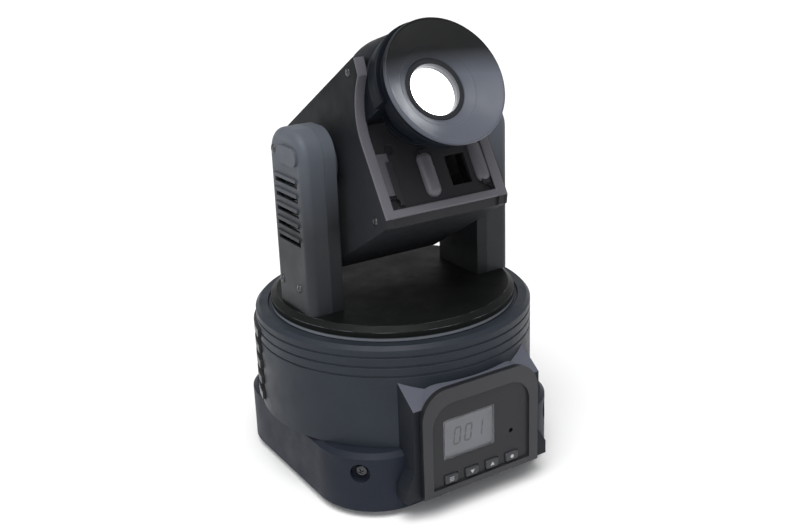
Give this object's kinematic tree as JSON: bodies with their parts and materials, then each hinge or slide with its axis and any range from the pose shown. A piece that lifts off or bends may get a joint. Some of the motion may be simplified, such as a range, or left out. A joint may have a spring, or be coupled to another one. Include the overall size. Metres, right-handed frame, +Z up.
{
  "type": "moving head light",
  "caption": "Small moving head spot light: round base with a front control panel, a panning yoke and a tilting head with a flared lens hood.",
  "frame": {"origin": "on the pan axis, in the plane of the undersides of the rubber feet", "axes": "+Z up along the pan axis, -Y towards the control panel and the lens at rest, +X along the tilt axis to the right of someone who faces the panel"},
  "size_m": [0.19, 0.2062, 0.3059],
  "materials": {
    "housing_plastic": "fine matt texture, dark blue-grey",
    "trim_plastic": "satin, slightly darker than the housing",
    "rubber": "matt black",
    "belt_rubber": "matt black",
    "zinc_steel": "zinc-plated sheet",
    "screw_steel": "plated",
    "machined_steel": "turned",
    "pulley_plastic": "moulded",
    "motor_black": "painted",
    "aluminium": "bare",
    "glass": "clear",
    "window_clear": "smoked clear sheet",
    "display_dark": "grey display glass",
    "circuit_board": "green solder mask",
    "connector_black": "black",
    "key_plastic": "satin grey",
    "wheel_metal": "black anodised"
  },
  "bodies": {
    "base": {"base_plate": "zinc_steel", "rubber_feet": "rubber", "base_skirt": "housing_plastic", "base_screws": "screw_steel", "base_drum": "housing_plastic", "side_vents": "trim_plastic", "panel_housing": "housing_plastic", "panel_bezel": "trim_plastic", "display_window": "window_clear", "display_module": "display_dark", "panel_pcb": "circuit_board", "base_chassis": "zinc_steel", "pan_bearing": "machined_steel", "pan_motor": "motor_black", "pan_belt": "belt_rubber", "power_supply": "aluminium", "main_pcb": "circuit_board", "rear_panel": "trim_plastic", "power_inlet": "connector_black", "dmx_in_socket": "connector_black", "dmx_out_socket": "connector_black", "safety_eye": "zinc_steel"},
    "menu_key": {"button_menu": "key_plastic"},
    "down_key": {"button_down": "key_plastic"},
    "up_key": {"button_up": "key_plastic"},
    "enter_key": {"button_enter": "key_plastic"},
    "pan_drive": {"pan_motor_pulley": "machined_steel"},
    "yoke": {"pan_hub": "machined_steel", "pan_pulley": "pulley_plastic", "yoke_frame": "zinc_steel", "yoke_disc": "housing_plastic", "arm_left_outer": "housing_plastic", "arm_left_inner": "housing_plastic", "arm_right_outer": "housing_plastic", "arm_right_inner": "housing_plastic", "arm_screws": "screw_steel", "tilt_bearings": "machined_steel", "tilt_motor": "motor_black", "tilt_belt": "belt_rubber"},
    "tilt_drive": {"tilt_motor_pulley": "machined_steel"},
    "head": {"head_left_cover": "housing_plastic", "head_right_cover": "housing_plastic", "head_front": "housing_plastic", "head_rear": "housing_plastic", "head_chassis": "zinc_steel", "head_screws": "screw_steel", "hood": "trim_plastic", "tilt_shafts": "machined_steel", "tilt_pulley": "pulley_plastic", "led_engine": "aluminium", "heat_sink": "aluminium", "condenser_lens": "glass", "wheel_motors": "motor_black", "fan_frame": "trim_plastic"},
    "lens_slide": {"lens_cell": "trim_plastic", "front_lens": "glass"},
    "gobo": {"gobo_wheel": "wheel_metal"},
    "color": {"color_wheel": "wheel_metal"},
    "fan": {"fan_rotor": "trim_plastic"}
  },
  "joints": [
    {"name": "pan_swivel", "type": "hinge", "parent": "base", "child": "yoke", "pos_m": [0, 0, 0.1], "axis": [0, 0, 1], "range_deg": [-270, 270]},
    {"name": "tilt_swivel", "type": "hinge", "parent": "yoke", "child": "head", "pos_m": [0, 0, 0.216], "axis": [1, 0, 0], "range_deg": [-174, 56]},
    {"name": "pan_motor_spin", "type": "hinge", "parent": "base", "child": "pan_drive", "pos_m": [-0.056, 0, 0.097], "axis": [0, 0, 1], "range_deg": [-1620, 1620]},
    {"name": "tilt_motor_spin", "type": "hinge", "parent": "yoke", "child": "tilt_drive", "pos_m": [0.07, 0, 0.152], "axis": [1, 0, 0], "range_deg": [-696, 224]},
    {"name": "focus_slide", "type": "slide", "parent": "head", "child": "lens_slide", "axis": [0, -0.8563, 0.5165], "range_m": [-0.004, 0.003]},
    {"name": "gobo_spin", "type": "hinge", "parent": "head", "child": "gobo", "pos_m": [-0.01472, -0.01162, 0.225], "axis": [0, -0.8563, 0.5165], "continuous": true},
    {"name": "color_spin", "type": "hinge", "parent": "head", "child": "color", "pos_m": [0.01472, -0.01548, 0.22732], "axis": [0, -0.8563, 0.5165], "continuous": true},
    {"name": "fan_spin", "type": "hinge", "parent": "head", "child": "fan", "pos_m": [0, 0.04126, 0.1876], "axis": [0, -0.8563, 0.5165], "continuous": true},
    {"name": "menu_press", "type": "slide", "parent": "base", "child": "menu_key", "axis": [0, 1, 0], "range_m": [0, 0.0007], "stiffness_N_per_m": 300, "springref_m": -0.0008},
    {"name": "down_press", "type": "slide", "parent": "base", "child": "down_key", "axis": [0, 1, 0], "range_m": [0, 0.0007], "stiffness_N_per_m": 300, "springref_m": -0.0008},
    {"name": "up_press", "type": "slide", "parent": "base", "child": "up_key", "axis": [0, 1, 0], "range_m": [0, 0.0007], "stiffness_N_per_m": 300, "springref_m": -0.0008},
    {"name": "enter_press", "type": "slide", "parent": "base", "child": "enter_key", "axis": [0, 1, 0], "range_m": [0, 0.0007], "stiffness_N_per_m": 300, "springref_m": -0.0008}
  ],
  "couplings": [
    {"joint": "pan_motor_spin", "follows": "pan_swivel", "ratio": 6},
    {"joint": "tilt_motor_spin", "follows": "tilt_swivel", "ratio": 4}
  ]
}
